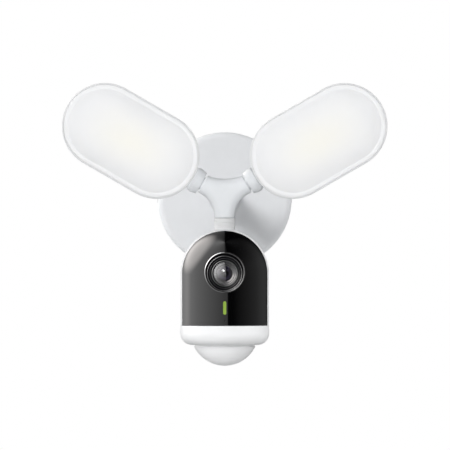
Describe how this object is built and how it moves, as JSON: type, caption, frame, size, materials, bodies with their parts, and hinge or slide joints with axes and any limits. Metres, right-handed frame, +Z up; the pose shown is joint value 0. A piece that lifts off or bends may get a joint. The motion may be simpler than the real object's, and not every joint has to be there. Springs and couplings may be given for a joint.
{
  "type": "floodlight security camera",
  "caption": "Wall-mounted security camera hanging from a Y-shaped arm that also carries a pair of tilting oval floodlights, with a motion sensor dome under the camera.",
  "frame": {"origin": "centre of the canopy's wall face, midway between the bracket's box-screw slots", "axes": "+Y into the wall, +Z up, +X to the viewer's right; the camera looks along -Y"},
  "size_m": [0.3362, 0.168, 0.2925],
  "materials": {
    "white_plastic": "satin white moulded shell",
    "white_cast": "white powder coat on die-cast alloy",
    "black_gloss": "polished black",
    "black_matte": "fine matt black",
    "frosted": "frosted diffusing plastic",
    "sensor_dome": "milky dome",
    "reflector_white": "white reflector",
    "rubber": "soft",
    "white_rubber": "soft white",
    "steel": "zinc-plated steel",
    "board": "solder mask",
    "white_board": "white solder mask on aluminium",
    "led": "phosphor",
    "lens_glass": "coated",
    "dark_lens": "infrared epoxy",
    "status": "light guide",
    "ground_green": "green screw"
  },
  "bodies": {
    "mount": {"canopy_cover": "white_plastic", "canopy_gasket": "rubber", "mounting_bracket": "steel", "canopy_screws": "steel", "ground_screw": "ground_green", "terminal_block": "white_plastic", "driver_case": "white_plastic", "y_arm": "white_cast", "arm_gasket": "rubber", "arm_nut": "steel", "arm_lock_screws": "steel"},
    "left_knuckle": {"left_knuckle": "white_cast", "left_swivel_oring": "rubber"},
    "left_lamp": {"left_tilt_bolt": "steel", "left_tilt_nut": "steel", "left_tilt_washers": "rubber", "left_head_housing": "white_cast", "left_led_board": "white_board", "left_leds": "led", "left_reflector": "reflector_white", "left_gasket": "rubber", "left_diffuser": "frosted", "left_head_screws": "steel"},
    "right_knuckle": {"right_knuckle": "white_cast", "right_swivel_oring": "rubber"},
    "right_lamp": {"right_tilt_bolt": "steel", "right_tilt_nut": "steel", "right_tilt_washers": "rubber", "right_head_housing": "white_cast", "right_led_board": "white_board", "right_leds": "led", "right_reflector": "reflector_white", "right_gasket": "rubber", "right_diffuser": "frosted", "right_head_screws": "steel"},
    "neck": {"neck_stem": "white_cast", "pan_lock_ring": "white_plastic"},
    "camera": {"tilt_cradle": "white_plastic", "tilt_pin": "steel", "rear_shell": "white_plastic", "front_panel": "black_gloss", "shell_screws": "steel", "base_band": "white_plastic", "pir_dome": "sensor_dome", "pir_sensor": "board", "lens_bezel": "black_gloss", "lens_funnel": "black_matte", "lens_barrel": "black_matte", "front_lens": "lens_glass", "iris_ring": "black_matte", "sensor_board": "board", "main_board": "board", "infrared_leds": "dark_lens", "status_light": "status", "microphone": "steel", "speaker": "black_matte", "service_bay": "white_plastic", "card_socket": "steel"},
    "reset_button": {"reset_button": "black_matte"},
    "service_flap": {"service_flap": "white_rubber"}
  },
  "joints": [
    {"name": "left_swivel", "type": "hinge", "parent": "mount", "child": "left_knuckle", "pos_m": [-0.02425, -0.118, 0.0162], "axis": [-0.866, 0, 0.5], "range_deg": [-40, 40]},
    {"name": "left_tilt", "type": "hinge", "parent": "left_knuckle", "child": "left_lamp", "pos_m": [-0.05023, -0.118, 0.0312], "axis": [0.5, 0, 0.866], "range_deg": [-30, 20]},
    {"name": "right_swivel", "type": "hinge", "parent": "mount", "child": "right_knuckle", "pos_m": [0.02425, -0.118, 0.0162], "axis": [0.866, 0, 0.5], "range_deg": [-40, 40]},
    {"name": "right_tilt", "type": "hinge", "parent": "right_knuckle", "child": "right_lamp", "pos_m": [0.05023, -0.118, 0.0312], "axis": [0.5, 0, -0.866], "range_deg": [-30, 20]},
    {"name": "camera_pan", "type": "hinge", "parent": "mount", "child": "neck", "pos_m": [0, -0.118, -0.0243], "axis": [0, 0, 1], "range_deg": [-90, 90]},
    {"name": "camera_tilt", "type": "hinge", "parent": "neck", "child": "camera", "pos_m": [0, -0.118, -0.0773], "axis": [1, 0, 0], "range_deg": [0, 45]},
    {"name": "reset_press", "type": "slide", "parent": "camera", "child": "reset_button", "axis": [0, -1, 0], "range_m": [0, 0.0008], "stiffness_N_per_m": 400, "springref_m": -0.001},
    {"name": "flap_hinge", "type": "hinge", "parent": "camera", "child": "service_flap", "pos_m": [0, -0.0738, -0.1277], "axis": [-1, 0, 0], "range_deg": [0, 85]}
  ]
}
